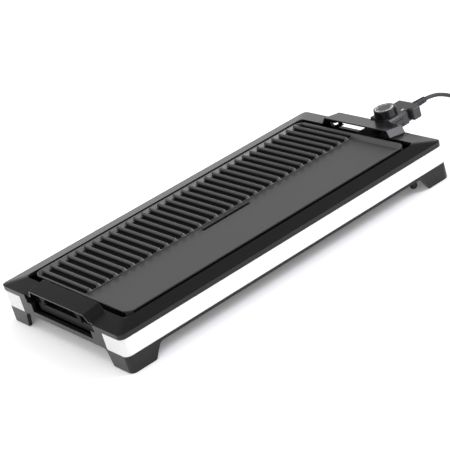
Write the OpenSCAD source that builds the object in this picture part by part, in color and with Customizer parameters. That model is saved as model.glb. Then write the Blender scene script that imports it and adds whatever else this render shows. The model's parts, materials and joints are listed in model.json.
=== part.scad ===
// Electric table grill with a lift-off cooking plate, half ribbed and half flat.
// The plate carries both end handles and plugs into a removable thermostat probe.
// Millimetres, +Z up, table at z = 0. +X is the probe end, -Y the flat-plate side.

/* [Frame] */
// Length of the frame over its lip
frame_length = 600; // [540:5:660]
// Width of the frame over its lip
frame_width = 322; // [290:2:350]
// Height of the lip's top edge above the table
lip_top = 60; // [57:0.5:75]
// Radius of the frame's corners in plan
corner_r = 10; // [8:0.5:14]
// Height of the lip's upright face
lip_height = 7.2; // [5.5:0.1:8.5]
// How far the lip stands out over the wall below it
lip_overhang = 0.6; // [0.3:0.1:1.5]
// Rise of the sloping rim from lip to plate opening
rim_rise = 4.7; // [3:0.1:7]
// Width of the sloping rim at the short ends
rim_end_width = 30; // [27:0.5:34]
// Width of the sloping rim along the long sides
rim_side_width = 27.5; // [24:0.5:31]
// Thickness of the sloping rim
rim_thickness = 2.5; // [1.8:0.1:3.2]
// Thickness of the frame's upright walls
wall = 6; // [5.2:0.1:7]
// Height of the trim band
band_height = 26.6; // [25:0.2:29]
// Thickness of the trim band
band_thickness = 2.4; // [1.6:0.1:2.8]
// Half width of the bare end wall between the band ends
band_end = 111.5; // [108:0.5:116]

/* [Lower frame] */
// Drop of the lower rail below the trim band
rail_drop = 4.4; // [3:0.1:8]
// Length of a foot along the long side, at the table
foot_length = 42; // [36:0.5:48]
// Length of a foot along the short side, at the table
foot_width = 45.5; // [40:0.5:50]
// Thickness of the foot pads
pad_thickness = 1.2; // [0.8:0.1:2]
// Width of the inner flange that carries the heat shield
flange_width = 14; // [10:0.5:18]
// Distance of a frame pillar from the frame's end
pillar_x = 56; // [50:0.5:60]
// Distance of a frame pillar from the frame's long side
pillar_y = 20; // [18:0.5:22]

/* [Tray slot and drip tray] */
// Depth of the slot's ledges below the lip
ledge_depth = 12.6; // [12:0.1:13.5]
// Depth of the slot's floor below the lip
slot_depth = 25.5; // [22.5:0.5:26.5]
// Half width of the slot above its ledges
slot_half_width = 91.4; // [89:0.2:95]
// Half width of the slot below its ledges
slot_throat = 80.4; // [77:0.2:83]
// Length of the drip tray
tray_length = 341; // [310:1:360]
// Set-back of the drip tray behind the lip
tray_setback = 9; // [6:0.5:12]
// Thickness of the drip tray's sheet
tray_sheet = 1; // [0.8:0.1:1.4]
// Depth of the drip tray
tray_depth = 11.6; // [8:0.2:11.8]

/* [Cooking plate] */
// Gap between plate and rim at the short ends
plate_end_gap = 9.4; // [8:0.2:12]
// Gap between plate and rim along the long sides
plate_side_gap = 7.4; // [5:0.2:9]
// Height of the plate's lip above the rim's inner edge
plate_proud = 0.9; // [0:0.1:2]
// Radius of the plate's corners
plate_corner_r = 15; // [12:0.5:18]
// Width of the plate's lip on top
plate_lip = 2.6; // [2:0.1:3.5]
// Depth of the pan over the ribbed half
pan_depth = 5; // [4:0.1:6]
// Run of the pan's sloping wall
pan_draft = 3.6; // [2.5:0.1:5]
// Step down from the ribbed floor to the flat floor
floor_step = 1.3; // [0.6:0.1:2]
// Thickness of the plate's floor under the flat half
floor_thickness = 3.7; // [3.2:0.1:4.5]
// Number of ribs
rib_count = 33; // [25:1:35]
// Distance between rib centres
rib_pitch = 15.36; // [14:0.02:15.4]
// Width of a rib at its foot
rib_width = 8.4; // [6.5:0.1:9.5]
// Height of a rib
rib_height = 5.2; // [4:0.1:5.6]
// Y of the ribs' front ends
rib_front = -4.5; // [-8:0.5:4]
// Distance from the ribs' front ends to the floor step
step_gap = 2.6; // [2:0.1:5]
// Length of the drain slot
drain_length = 91; // [60:1:100]
// Width of the drain slot
drain_width = 8; // [6:0.5:10]

/* [Handles] */
// Rise of a handle above the rim, square to its slope
handle_rise = 10.2; // [9:0.1:13]
// Half width of a handle's flat top
handle_top = 73.5; // [68:0.5:76]
// Half width of a handle where its flanks meet the flange
handle_base = 80; // [78:0.5:84]
// Wall of a handle
handle_wall = 2.2; // [1.8:0.1:3]
// Gap between a handle's flange and the slot
handle_gap = 0.5; // [0.3:0.1:1.5]
// Reach of the probe-end handle past the frame's lip
handle_reach = 1; // [0:0.2:3]
// Set-back of the tray-end handle behind the frame's lip
handle_setback = 2; // [0:0.2:4]

/* [Heating element] */
// Diameter of the element's sheath
element_d = 7; // [6:0.1:7.6]
// Diameter of a terminal pin
pin_d = 5; // [4.4:0.1:5.4]
// Distance between the terminal pins
pin_spacing = 20; // [18:0.5:22]
// Reach of the terminal pins past the plate's end
pin_reach = 24; // [20:0.5:25]

/* [Probe] */
// Y of the probe's centre line
probe_y = -23; // [-30:1:-16]
// Length of the probe's housing
probe_length = 62.5; // [60:0.5:68]
// Width of the probe's housing
probe_width = 47; // [43:0.5:50]
// Height of the probe's housing
probe_height = 20.5; // [19:0.5:24]
// Wall of the probe's housing
probe_wall = 2; // [1.6:0.1:2.4]
// Height of the probe's top above the lip
probe_above_lip = 12.5; // [11.5:0.5:16]
// Diameter of the sensor rod
rod_d = 6; // [5:0.1:6.4]
// Reach of the sensor rod past the probe's nose
rod_reach = 72; // [60:1:80]
// Diameter of the knob at its foot
knob_d = 37; // [34:0.5:40]
// Height of the knob
knob_height = 12.2; // [10:0.2:15]
// Diameter of the knob's spindle
spindle_d = 6; // [5:0.1:7]
// Length of the strain relief
relief_length = 32; // [26:1:40]
// Diameter of the cord
cord_d = 6.5; // [6.3:0.1:6.7]

/* [Hidden] */
$fn = 48;

// Colours
black = "#26262a";
dark = "#33333a";
steel = "#9a9ca0";
white = "#f2f2ef";
eps = 0.01;

// Running clearances
fit = 0.1;
slide_gap = 0.2;
part_gap = 0.3;

// Levels above the table
lip_bottom = lip_top - lip_height;
band_bottom = lip_bottom - band_height;
rail_bottom = band_bottom - rail_drop;
rim_top = lip_top + rim_rise;
ledge_z = lip_top - ledge_depth;
slot_floor = lip_top - slot_depth;
plate_top = rim_top + plate_proud;
rib_floor = plate_top - pan_depth;
flat_floor = rib_floor - floor_step;
plate_under = flat_floor - floor_thickness;
shield_top = band_bottom + 1;

// Plan sizes
wall_length = frame_length - 2 * lip_overhang;
wall_width = frame_width - 2 * lip_overhang;
inner_length = wall_length - 2 * wall;
inner_width = wall_width - 2 * wall;
inner_r = max(corner_r - wall, 2);
opening_length = frame_length - 2 * rim_end_width;
opening_width = frame_width - 2 * rim_side_width;
plate_length = opening_length - 2 * plate_end_gap;
plate_width = opening_width - 2 * plate_side_gap;
rim_slope = atan(rim_rise / rim_end_width);
pocket_depth = band_thickness + slide_gap;

// Probe places
probe_front = frame_length / 2 + handle_reach + handle_rise * sin(rim_slope) + 0.7;
probe_rear = probe_front + probe_length;
probe_top = lip_top + probe_above_lip;
probe_floor = probe_top - probe_height;
probe_right = probe_y - probe_width / 2;
probe_left = probe_y + probe_width / 2;
relief_z = probe_floor + probe_height / 2 - 0.2;
relief_end = probe_rear + relief_length;

// The grill's middle, placed so that the object's box is centred on the origin
grill_x = -(relief_end - frame_length / 2) / 2;

// Points of an arc about c, from angle a0 to a1
function arc(c, r, a0, a1, n = 6) =
    [for (i = [0 : n]) c + r * [cos(a0 + (a1 - a0) * i / n), sin(a0 + (a1 - a0) * i / n)]];

module at_grill() translate([grill_x, 0, 0]) children();

// Rectangle with round corners, about the origin
module rounded_rect(length, width, r) {
    square([length - 2 * r, width], center = true);
    square([length, width - 2 * r], center = true);
    for (sx = [-1, 1], sy = [-1, 1])
        translate([sx * (length / 2 - r), sy * (width / 2 - r)]) circle(r);
}

// Upright block with round corners between two levels
module slab(length, width, r, z0, z1)
    translate([0, 0, z0]) linear_extrude(z1 - z0) rounded_rect(length, width, r);

// Y-Z outline pushed along X
module along_x(x0, x1)
    translate([x0, 0, 0]) rotate([90, 0, 90]) linear_extrude(x1 - x0) children();

// X-Z outline pushed along Y
module along_y(y0, y1)
    translate([0, y1, 0]) rotate([90, 0, 0]) linear_extrude(y1 - y0) children();

// Box from its lowest to its highest corner
module span(low, high) translate(low) cube(high - low);

module rod_x(x0, x1, y, z, r) translate([x0, y, z]) rotate([0, 90, 0]) cylinder(r = r, h = x1 - x0);
module rod_z(x, y, z0, z1, r) translate([x, y, z0]) cylinder(r = r, h = z1 - z0);

module at_corners(x, y) for (sx = [-1, 1], sy = [-1, 1]) translate([sx * x, sy * y, 0]) children();

// Pan-head screw pointing down from the face at z
module screw_down(x, y, z, shank_r, length, head_r, head_h) {
    rod_z(x, y, z, z + head_h, head_r);
    rod_z(x, y, z - length, z + eps, shank_r);
}

// Half outline of a hipped roof: upright side, sloping shoulder and flat top
function hip_outline(half, base, edge, top, shoulder) = [
    [-half, base], [half, base], [half, edge], [half - shoulder, top],
    [shoulder - half, top], [-half, edge]];

// Block whose top slopes up from all four sides
module hip(length, width, base, edge, top, end_run, side_run)
    intersection() {
        along_x(-length / 2, length / 2)
            polygon(hip_outline(width / 2, base, edge, top, side_run));
        along_y(-width / 2, width / 2)
            polygon(hip_outline(length / 2, base, edge, top, end_run));
    }

// Frame

foot_slant = 0.6;
arch_r = 12;
end_foot_top = 108.5;
end_arch_r = 9;
boss_r = 6;
boss_bore_r = 1.5;
frame_screw_length = 16;
frame_screw_floor = 4;
pillar_clear = 3;
ledge_half = 7;
ledge_top = plate_under - 5;
ledge_plate = 4;
pad_r = 6.5;
pad_height = 1.6;
leg_x = frame_length / 2 - pillar_x;
leg_y = plate_width / 2 - 12;
pillar_at_y = frame_width / 2 - pillar_y;
flange_thickness = 3;
opening_r = 9.6;
collar = 2;
collar_depth = 5;

// Outline of the arch between two feet: slanting flanks and round shoulders
function arch_outline(half_foot, slant, top, r) =
    let (turn = atan2(1, -slant), reach = r * tan(turn / 2), corner = half_foot + slant * top)
    concat(
        [[-half_foot, -1]],
        [[-half_foot, 0]],
        arc([-corner + reach, top - r], r, 90 + turn, 90),
        arc([corner - reach, top - r], r, 90, 90 - turn),
        [[half_foot, 0]],
        [[half_foot, -1]]);

module foot_arches() {
    long_half = frame_length / 2 - foot_length;
    short_half = frame_width / 2 - foot_width;
    rise = (short_half - end_foot_top) / band_bottom;
    along_y(-frame_width, frame_width)
        polygon(arch_outline(long_half, -foot_slant, rail_bottom, arch_r));
    along_x(-frame_length, frame_length)
        polygon(arch_outline(short_half, -rise, band_bottom, end_arch_r));
}

// Wall that follows the frame's outline
module frame_wall(inset_out, inset_in, z0, z1)
    difference() {
        slab(wall_length - 2 * inset_out, wall_width - 2 * inset_out,
            corner_r - lip_overhang - inset_out, z0, z1);
        slab(inner_length + 2 * inset_in, inner_width + 2 * inset_in,
            inner_r + inset_in, z0 - 1, z1 + 1);
    }

module tray_slot(z_floor)
    along_x(-frame_length, -inner_length / 2 + rim_end_width) {
        translate([-slot_half_width, ledge_z])
            square([2 * slot_half_width, frame_width]);
        if (z_floor < ledge_z)
            translate([-slot_throat, z_floor])
                square([2 * slot_throat, ledge_z - z_floor + 1]);
    }

module band_shape(thickness, edge, z0, z1, r)
    intersection() {
        frame_wall(0, wall - thickness, z0, z1);
        along_x(-frame_length, frame_length)
            translate([-frame_width + r, z0 + r])
                union() {
                    square([frame_width - edge - 2 * r, z1 - z0 - 2 * r]);
                    if (r > 0) translate([frame_width - edge - 2 * r, 0]) {
                        square([r, z1 - z0 - 2 * r]);
                        translate([-frame_width, -r]) square([frame_width, z1 - z0]);
                        for (z = [0, z1 - z0 - 2 * r]) translate([0, z]) circle(r);
                    }
                }
    }

module rim_frame() at_grill() color(black) {
    difference() {
        union() {
            difference() {
                union() {
                    intersection() {
                        hip(frame_length, frame_width, lip_bottom, lip_top, rim_top,
                            rim_end_width, rim_side_width);
                        slab(frame_length, frame_width, corner_r, lip_bottom, rim_top);
                    }
                    slab(wall_length, wall_width, corner_r - lip_overhang, band_bottom,
                        lip_bottom + eps);
                }
                intersection() {
                    hip(frame_length, frame_width, band_bottom - 1, lip_top - rim_thickness,
                        rim_top - rim_thickness, rim_end_width, rim_side_width);
                    slab(inner_length, inner_width, inner_r, band_bottom - 1, rim_top);
                }
            }
            slab(opening_length + 2 * collar, opening_width + 2 * collar,
                opening_r + collar, rim_top - collar_depth, rim_top - rim_thickness + 0.5);
            at_corners(leg_x, pillar_at_y)
                rod_z(0, 0, band_bottom, rim_top - rim_thickness - 1, boss_r);
            for (sx = [-1, 1], sy = [-1, 1])
                span([sx * leg_x - ledge_half, min(sy * (leg_y - ledge_half), sy * pillar_at_y),
                    ledge_top - pad_height - ledge_plate],
                    [sx * leg_x + ledge_half, max(sy * (leg_y - ledge_half), sy * pillar_at_y),
                    ledge_top - pad_height]);
        }
        slab(opening_length, opening_width, opening_r, rim_top - collar_depth - 1, rim_top + 1);
        tray_slot(slot_floor);
        mirror([1, 0, 0]) tray_slot(ledge_z);
        for (side = [-1, 1]) mirror([0, (side + 1) / 2, 0])
            band_shape(pocket_depth, band_end - slide_gap, band_bottom - 1, lip_bottom, 0);
        at_corners(leg_x, pillar_at_y)
            rod_z(0, 0, band_bottom - 1, band_bottom + frame_screw_length, boss_bore_r);
    }
}

module lower_frame() at_grill() color(black)
    difference() {
        union() {
            difference() {
                frame_wall(0, 0, pad_thickness, band_bottom);
                foot_arches();
            }
            frame_flange();
            at_corners(leg_x, pillar_at_y) {
                rod_z(0, 0, pillar_clear + boss_r, band_bottom, boss_r);
                translate([0, 0, pillar_clear + boss_r]) sphere(boss_r);
            }
        }
        at_corners(leg_x, pillar_at_y) {
            rod_z(0, 0, -1, band_bottom - frame_screw_floor, 3.2);
            rod_z(0, 0, -1, band_bottom + 1, 1.8);
        }
        shield_screw_places() rod_z(0, 0, 0, band_bottom + 1, shield_screw_r);
    }

module frame_flange()
    difference() {
        slab(inner_length + 2, inner_width + 2, inner_r + 1, band_bottom - flange_thickness, band_bottom);
        slab(inner_length - 2 * flange_width, inner_width - 2 * flange_width, inner_r, 0, frame_width);
    }

module front_trim_band() at_grill() color(white)
    band_shape(band_thickness, band_end, band_bottom, lip_bottom, 2);

module rear_trim_band() mirror([0, 1, 0]) front_trim_band();

module foot_pads() at_grill() color(black)
    difference() {
        frame_wall(1, 1, 0, pad_thickness);
        foot_arches();
    }

module heat_shield() at_grill() color(steel)
    difference() {
        slab(inner_length - 1, inner_width - 1, inner_r, band_bottom, shield_top);
        at_corners(leg_x, pillar_at_y) rod_z(0, 0, 0, frame_width, boss_r + 0.4);
        shield_screw_places() rod_z(0, 0, 0, frame_width, shield_screw_r);
        rail_screw_places() rod_z(0, 0, 0, frame_width, rail_screw_r);
    }

module rest_pads() at_grill() color("#b9b4a8")
    at_corners(leg_x, leg_y) rod_z(0, 0, ledge_top - pad_height, ledge_top, pad_r);

module frame_screws() at_grill() color(steel)
    at_corners(leg_x, pillar_at_y) mirror([0, 0, 1])
        screw_down(0, 0, frame_screw_floor - band_bottom, boss_bore_r - fit, frame_screw_length, 3, 2);

shield_screw_x = [-200, 0, 200];
shield_screw_r = 1.5;
module shield_screw_places()
    for (x = shield_screw_x, sy = [-1, 1]) translate([x, sy * (inner_width / 2 - 8), 0]) children();
module shield_screws() at_grill() color(steel)
    shield_screw_places() screw_down(0, 0, shield_top, shield_screw_r - fit, 3, 2.8, 1.6);

// Tray rails

rail_sheet = 1.5;
rail_flange = 14;
rail_screw_inset = [40, 20];
rail_end = tray_length - tray_setback - frame_length / 2 + 12;
rail_start = -inner_length / 2 + 0.2;

module tray_rail(side) {
    outer = slot_half_width + rail_sheet;
    difference() {
        mirror([0, side > 0 ? 0 : 1, 0]) along_x(rail_start, rail_end) {
            translate([slot_throat + 0.5, ledge_z - rail_sheet])
                square([outer - slot_throat - 0.5, rail_sheet]);
            translate([slot_half_width, shield_top]) square([rail_sheet, ledge_z - shield_top + 3]);
            translate([slot_half_width, shield_top]) square([rail_flange, rail_sheet]);
        }
        rail_screw_places() rod_z(0, 0, 0, frame_width, rail_screw_r);
    }
}

rail_screw_x = [
    rail_start + rail_screw_inset[0], (rail_start + rail_end) / 2, rail_end - rail_screw_inset[1]];
module front_tray_rail() at_grill() color(steel) tray_rail(-1);
module rear_tray_rail() at_grill() color(steel) tray_rail(1);
rail_screw_r = 1.6;
module rail_screw_places()
    for (x = rail_screw_x, sy = [-1, 1]) translate([x, sy * (slot_half_width + 8), 0]) children();
module rail_screws() at_grill() color(steel)
    rail_screw_places() screw_down(0, 0, shield_top + rail_sheet, rail_screw_r - fit, 5, 3, 1.6);

module drip_tray() at_grill() color(dark) {
    x0 = -frame_length / 2 + tray_setback;
    x1 = x0 + tray_length;
    half = slot_throat - 2;
    tray_flange = slot_half_width - 2.5;
    bottom = ledge_z - tray_depth;
    middle = (x0 + x1) / 2;
    translate([middle, 0, 0]) {
        difference() {
            union() {
                slab(tray_length, 2 * half, 8, bottom, ledge_z + tray_sheet);
                slab(tray_length - 6, 2 * tray_flange, 4, ledge_z, ledge_z + tray_sheet);
            }
            slab(tray_length - 2 * tray_sheet, 2 * (half - tray_sheet), 8 - tray_sheet,
                bottom + tray_sheet, ledge_z + tray_sheet + 1);
        }
    }
}

// Cooking plate

lip_inner_length = plate_length - 2 * plate_lip;
lip_inner_width = plate_width - 2 * plate_lip;
step_y = rib_front - step_gap;
drain_x = -6;
drain_y = step_y - 9.5;
spout_wall = 1.6;
spout_drop = 3;
element_z = plate_under - 2.5;
ridge = 2.5;
element_x = 200;
element_y = 66;
element_r = 24;
lead_r = 14;
element_gap = 0.7;
sleeve_r = 4.2;
sleeve_length = 72;
plate_end = plate_length / 2;
tray_bracket_y = 47;
socket_bracket_y = 64;
strap_width = 10;
strap = 1.8;
strap_in = 22;

// Outline of a pan with sloping walls
function pan_outline(half, floor, top, draft) = [
    [draft - half, floor], [half - draft, floor], [half, top], [half, top + 5],
    [-half, top + 5], [-half, top]];

module pan(floor, y0, y1)
    intersection() {
        along_x(-plate_length, plate_length)
            polygon(pan_outline(lip_inner_width / 2, floor, plate_top, pan_draft));
        along_y(y0, y1)
            polygon(pan_outline(lip_inner_length / 2, floor, plate_top, pan_draft));
        slab(lip_inner_length, lip_inner_width, plate_corner_r - plate_lip, floor, plate_top + 1);
    }

// Row of ribs in section, with round tops, standing on a thin common foot
rib_crown = 2.4;
function rib_row() =
    let (first = -(rib_count - 1) / 2 * rib_pitch, z0 = rib_floor - 1, half = rib_width / 2)
    concat(
        [[first - half, z0]],
        [for (i = [0 : rib_count - 1])
            let (x = first + i * rib_pitch)
            for (p = concat([[x - half, rib_floor]],
                arc([x, rib_floor + rib_height - rib_crown], rib_crown, 160, 20, 4),
                [[x + half, rib_floor]])) p],
        [[-first + half, z0]]);

module ribs()
    intersection() {
        along_y(rib_front, plate_width / 2 - plate_lip - 0.5) polygon(rib_row());
        along_x(-plate_length, plate_length)
            polygon([[rib_front, rib_floor - 0.5], [rib_front + 0.8, rib_floor + rib_height + 1],
                [plate_width, rib_floor + rib_height + 1], [plate_width, rib_floor - 0.5]]);
    }

// Path of the heating element, with the section given as the child: x outward, y up
module element_run(lead_end) {
    turns = [[-1, -1, 180], [-1, 1, 90], [1, 1, 0], [1, -1, 270]];
    for (t = turns)
        translate([t[0] * (element_x - element_r), t[1] * (element_y - element_r), element_z])
            rotate([0, 0, t[2]]) rotate_extrude(angle = 90) translate([element_r, 0]) children();
    for (side = [-1, 1])
        translate([element_r - element_x, side * element_y, element_z])
            rotate([90, 0, 90]) linear_extrude(2 * (element_x - element_r)) children();
    translate([-element_x, element_y - element_r, element_z])
        rotate([90, 0, 0]) linear_extrude(2 * (element_y - element_r)) children();
    for (side = [-1, 1]) {
        lead_y = probe_y + side * pin_spacing / 2;
        bend_y = lead_y + side * lead_r;
        far_y = side * (element_y - element_r);
        translate([element_x, max(bend_y, far_y), element_z])
            rotate([90, 0, 0]) linear_extrude(abs(far_y - bend_y)) children();
        translate([element_x + lead_r, bend_y, element_z])
            rotate([0, 0, side > 0 ? 180 : 90])
                rotate_extrude(angle = 90) translate([lead_r, 0]) children();
        translate([element_x + lead_r, lead_y, element_z])
            rotate([90, 0, 90]) linear_extrude(lead_end - element_x - lead_r) children();
    }
}

module cooking_plate() at_grill() color(dark)
    difference() {
        union() {
            difference() {
                slab(plate_length, plate_width, plate_corner_r, plate_under, plate_top);
                pan(rib_floor, step_y, plate_width);
                pan(flat_floor, -plate_width, step_y + eps);
            }
            ribs();
            at_corners(leg_x, leg_y) rod_z(0, 0, ledge_top, plate_under + 1, 5);
            element_run(plate_end - 9)
                translate([-element_d / 2 - 2.5, 0]) square([element_d + 5, ridge + 1]);
            along_x(plate_end - sleeve_length, plate_end - 9)
                translate([probe_y - sleeve_r - 2, element_z]) square([2 * sleeve_r + 4, ridge + 1]);
            drain_slot(plate_under - spout_drop, plate_under + 1, spout_wall);
        }
        drain_slot(plate_under - spout_drop - 1, plate_top, 0);
        element_run(plate_end + 1) circle(element_d / 2 + element_gap);
        rod_x(plate_end - sleeve_length - 0.2, plate_end + 1, probe_y, element_z, sleeve_r + part_gap);
        plate_screw_places() rod_z(0, 0, plate_under - 1, plate_under + 2.4, 1.5);
        shroud_screw_places() rod_z(0, 0, plate_under - 1, plate_under + 2.4, 1.5);
    }

module drain_slot(z0, z1, grow)
    translate([drain_x, drain_y, z0]) linear_extrude(z1 - z0)
        rounded_rect(drain_length + 2 * grow, drain_width + 2 * grow, drain_width / 2 - 0.5 + grow);

module plate_screw_places() {
    for (side = [-1, 1]) {
        translate([-plate_end + strap_in - 6, side * tray_bracket_y, 0]) children();
        translate([plate_end - strap_in + 6, side * socket_bracket_y, 0]) children();
    }
}

module heating_element() at_grill() color(steel)
    element_run(plate_end - 4) circle(d = element_d);

module terminal_insulators() at_grill() color("#d8d4c8")
    for (side = [-1, 1])
        rod_x(plate_end - 4, plate_end + 2.5, probe_y + side * pin_spacing / 2, element_z,
            element_d / 2 - 0.3);

module terminal_pins() at_grill() color(steel)
    for (side = [-1, 1]) translate([plate_end + 2.5, probe_y + side * pin_spacing / 2, element_z])
        rotate([0, 90, 0]) rotate_extrude()
            polygon(concat([[0, 0], [pin_d / 2, 0]],
                arc([pin_d / 2 - 1, pin_reach - 3.5], 1, 0, 90, 4), [[0, pin_reach - 2.5]]));

module sensor_sleeve() at_grill() color(steel)
    difference() {
        rod_x(plate_end - sleeve_length, plate_end, probe_y, element_z, sleeve_r);
        rod_x(plate_end - sleeve_length + 1, plate_end + 1, probe_y, element_z, rod_d / 2 + fit);
    }

// Sheet guard round the pins

nose_half = 20;
nose_bottom = ledge_z + 1.8;
nose_top = nose_bottom + 10.8;
nose_front = plate_end + 4;
shroud_sheet = 0.8;
shroud_gap = 0.5;
shroud_end = frame_length / 2 - 6;
ear_y = nose_half + 1.5;
ear_half = 4.5;
ear_length = 14;

module socket_shroud() at_grill() color(steel) {
    half = nose_half + shroud_gap;
    low = nose_bottom - shroud_gap;
    high = nose_top + shroud_gap;
    y0 = probe_y - half;
    y1 = probe_y + half;
    difference() {
        union() {
            span([plate_end, y0 - shroud_sheet, low - shroud_sheet],
                [shroud_end, y1 + shroud_sheet, high + shroud_sheet]);
            for (side = [-1, 1])
                span([plate_end - ear_length, probe_y + side * ear_y - ear_half, plate_under - shroud_sheet],
                    [plate_end + shroud_sheet, probe_y + side * ear_y + ear_half, plate_under]);
        }
        span([plate_end + shroud_sheet, y0, low], [shroud_end + 1, y1, high]);
        span([plate_end - 1, probe_y - pin_spacing / 2 - 4.2, low + 0.3],
            [plate_end + 3, probe_y + pin_spacing / 2 + 4.2, element_z + 5]);
        shroud_screw_places() rod_z(0, 0, 0, plate_top, 1.5);
    }
}

module shroud_screw_places()
    for (side = [-1, 1]) translate([plate_end - ear_length / 2, probe_y + side * ear_y, 0]) children();

module shroud_screws() at_grill() color(steel)
    shroud_screw_places() mirror([0, 0, 1])
        screw_down(0, 0, shroud_sheet - plate_under, 1.3, 2.6, 2.6, 1.4);

// Handles

handle_run = rim_end_width / cos(rim_slope);
handle_boss = 5;
handle_screw_x = 17;

// Places a child drawn from the outer edge inward, on the slope of the rim
module on_slope(reach)
    translate([-frame_length / 2 - reach, 0, lip_top - reach * tan(rim_slope)])
        rotate([0, -rim_slope, 0]) children();

module hat_outline(half_flange, half_base, half_top, rise)
    polygon([[-half_flange, -handle_wall], [half_flange, -handle_wall], [half_flange, 0],
        [half_base, 0], [half_top, rise], [-half_top, rise], [-half_base, 0], [-half_flange, 0]]);

module handle(reach, screw_y)
    on_slope(reach) difference() {
        union() {
            difference() {
                along_x(0, handle_run + reach)
                    hat_outline(slot_half_width - handle_gap, handle_base, handle_top, handle_rise);
                along_x(-1, handle_run + reach + 1) {
                    inner = handle_base - handle_wall;
                    inner_top = handle_top - handle_wall * 0.7;
                    polygon([[-inner, -handle_wall - 1], [inner, -handle_wall - 1],
                        [inner, 0.5 - handle_wall], [inner_top, handle_rise - handle_wall],
                        [-inner_top, handle_rise - handle_wall], [-inner, 0.5 - handle_wall]]);
                }
            }
            for (side = [-1, 1]) rod_z(handle_screw_x + reach, side * screw_y,
                handle_rise - handle_wall - handle_boss, handle_rise - 1, 4);
        }
        for (side = [-1, 1]) rod_z(handle_screw_x + reach, side * screw_y, -1,
            handle_rise - 1.2, 1.3);
    }

module tray_end_handle() at_grill() color(black) handle(-handle_setback, tray_bracket_y);
module socket_end_handle() at_grill() color(black)
    mirror([1, 0, 0]) handle(handle_reach, socket_bracket_y);

gusset_x = 5;
gusset_top = 14;
gusset_tip = [2.5, 7];
gusset_drop = 4.4;

// Sheet arm from under the plate to a handle's boss, with a tapered front gusset
module bracket(reach, side_y) {
    seat = handle_rise - handle_wall - handle_boss;
    x0 = -frame_length / 2 + gusset_x;
    z_tab = lip_top + gusset_x * tan(rim_slope) + (seat - strap) / cos(rim_slope);
    for (side = [-1, 1]) {
        difference() {
            on_slope(reach)
                span([gusset_x + reach, side * side_y - gusset_top / 2, seat - strap],
                    [handle_screw_x + reach + 5, side * side_y + gusset_top / 2, seat]);
            on_slope(reach) rod_z(handle_screw_x + reach, side * side_y, -9, 20, 1.6);
        }
        along_x(x0, x0 + strap) translate([side * side_y, 0])
            polygon([[side * gusset_tip[0], plate_under - strap - gusset_drop],
                [side * gusset_tip[1], plate_under - strap - gusset_drop],
                [side * gusset_top / 2, z_tab + 0.6], [-side * gusset_top / 2, z_tab + 0.6]]);
        difference() {
            span([x0, side * side_y - strap_width / 2, plate_under - strap],
                [-plate_end + strap_in, side * side_y + strap_width / 2, plate_under]);
            rod_z(-plate_end + strap_in - 6, side * side_y, 0, plate_top, 1.6);
        }
    }
}

module handle_brackets() at_grill() color(steel) {
    bracket(-handle_setback, tray_bracket_y);
    mirror([1, 0, 0]) bracket(handle_reach, socket_bracket_y);
}

module bracket_screws() at_grill() color(steel) {
    seat = handle_rise - handle_wall - handle_boss;
    for (end = [[-handle_setback, tray_bracket_y, 0], [handle_reach, socket_bracket_y, 1]],
        side = [-1, 1])
        mirror([end[2], 0, 0]) on_slope(end[0]) mirror([0, 0, 1])
            screw_down(handle_screw_x + end[0], side * end[1], strap - seat, 1.2,
                handle_boss + strap, 2.8, 1.4);
    plate_screw_places() mirror([0, 0, 1])
        screw_down(0, 0, strap - plate_under, 1.4, strap + 2, 2.8, 1.4);
}

// Thermostat probe

probe_split = relief_z;
notch_length = 26;
notch_width = 4.5;
probe_corner = 2.5;
probe_chamfer = 2.5;
knob_x = probe_front + 14;
lens_x = probe_front + 37;
lens_y = probe_y - 13;
lens_size = [5.5, 3];
vent_first = 9;
vent_pitch = 3.9;
vent_width = 1.6;
vent_height = 3;
vent_low = [1, -7.5];
clip_wall = 0.7;
clip_r = pin_d / 2 + fit + clip_wall;
nose_inside = 6;
nose_tail = 13;
post_r = 3.2;
relief_r = 6;
relief_tip_r = 5;
relief_rings = 6;
relief_flange_r = 7.6;
relief_inside = probe_wall + 2;
saddle_x = probe_rear - 18;
grip_out = 6.5;

module probe_plan(inset)
    difference() {
        translate([(probe_front + probe_rear) / 2, probe_y])
            rounded_rect(probe_length - 2 * inset, probe_width - 2 * inset, probe_corner - inset / 2);
        translate([probe_rear - notch_length - inset, probe_right - 1])
            square([notch_length + inset + 1, notch_width + inset + 1]);
    }

module probe_chamfers()
    along_x(probe_front - 1, probe_rear + 1)
        polygon([[probe_right, probe_floor], [probe_left, probe_floor],
            [probe_left, probe_top - probe_chamfer], [probe_left - probe_chamfer, probe_top],
            [probe_right + probe_chamfer, probe_top], [probe_right, probe_top - probe_chamfer]]);

module post_places()
    for (p = [[8, -17.4], [8, 17.4], [probe_length - 31, -18], [probe_length - 8, 17]])
        translate([probe_front + p[0], probe_y + p[1], 0]) children();

module vents() {
    for (i = [0 : 4], low = i < 3 ? [vent_low[0]] : vent_low)
        span([probe_front + vent_first + i * vent_pitch, probe_right - 1, probe_split + low],
            [probe_front + vent_first + i * vent_pitch + vent_width,
            probe_right + probe_wall + 0.5, probe_split + low + vent_height]);
}

module probe_lower_shell() at_grill() color(dark)
    difference() {
        union() {
            difference() {
                translate([0, 0, probe_floor]) linear_extrude(probe_split - probe_floor) probe_plan(0);
                translate([0, 0, probe_floor + probe_wall]) linear_extrude(probe_height)
                    probe_plan(probe_wall);
            }
            intersection() {
                post_places() rod_z(0, 0, probe_floor, probe_split, post_r);
                translate([0, 0, probe_floor]) linear_extrude(probe_height) probe_plan(0);
            }
        }
        post_places() rod_z(0, 0, probe_floor - 1, probe_split + 1, 1.5);
        post_places() rod_z(0, 0, probe_floor - 1, probe_floor + 2, 2.7);
        span([probe_front - 1, probe_y - nose_tail - 0.2, probe_floor + probe_wall],
            [probe_front + probe_wall + 1, probe_y + nose_tail + 0.2, nose_top + 0.2]);
        rod_x(probe_rear - probe_wall - 1, probe_rear + 1, probe_y, relief_z, relief_r - 0.1);
        vents();
    }

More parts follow.
